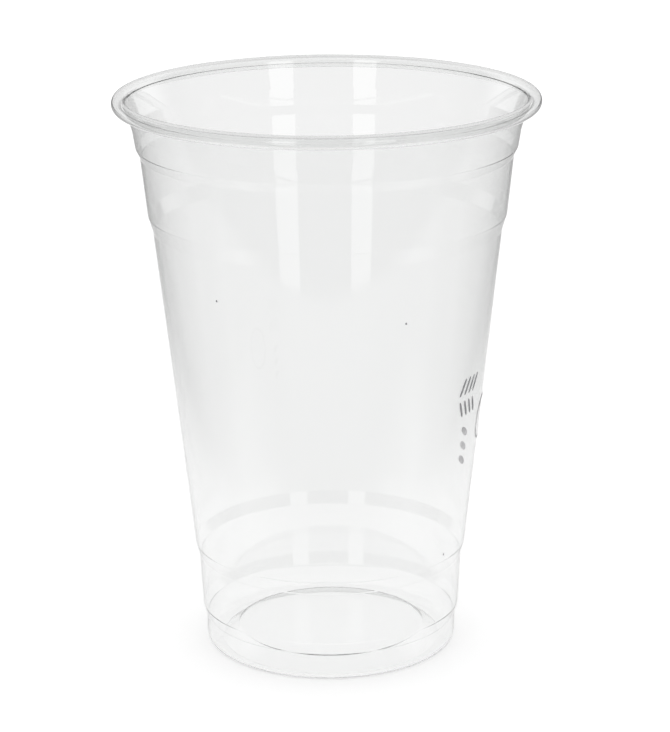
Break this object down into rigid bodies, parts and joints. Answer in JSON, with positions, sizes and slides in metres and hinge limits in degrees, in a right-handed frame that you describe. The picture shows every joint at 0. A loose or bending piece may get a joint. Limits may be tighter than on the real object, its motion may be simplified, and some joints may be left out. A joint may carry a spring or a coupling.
{
  "type": "disposable cup",
  "caption": "Clear thermoformed cold-drink cup: tapered wall with two stepped ledges, raised base panel inside a hollow foot, and a rolled rim that takes a press-on lid",
  "frame": {"origin": "middle of the foot, on the table that the cup stands on", "axes": "+Z is the cup's axis and points up out of its mouth; the cup is the same all round, so +X and +Y are free"},
  "size_m": [0.095, 0.095, 0.128],
  "materials": {
    "clear_plastic": "clear glossy sheet, slightly rippled by forming"
  },
  "bodies": {
    "root": {"cup": "clear_plastic"}
  },
  "joints": []
}
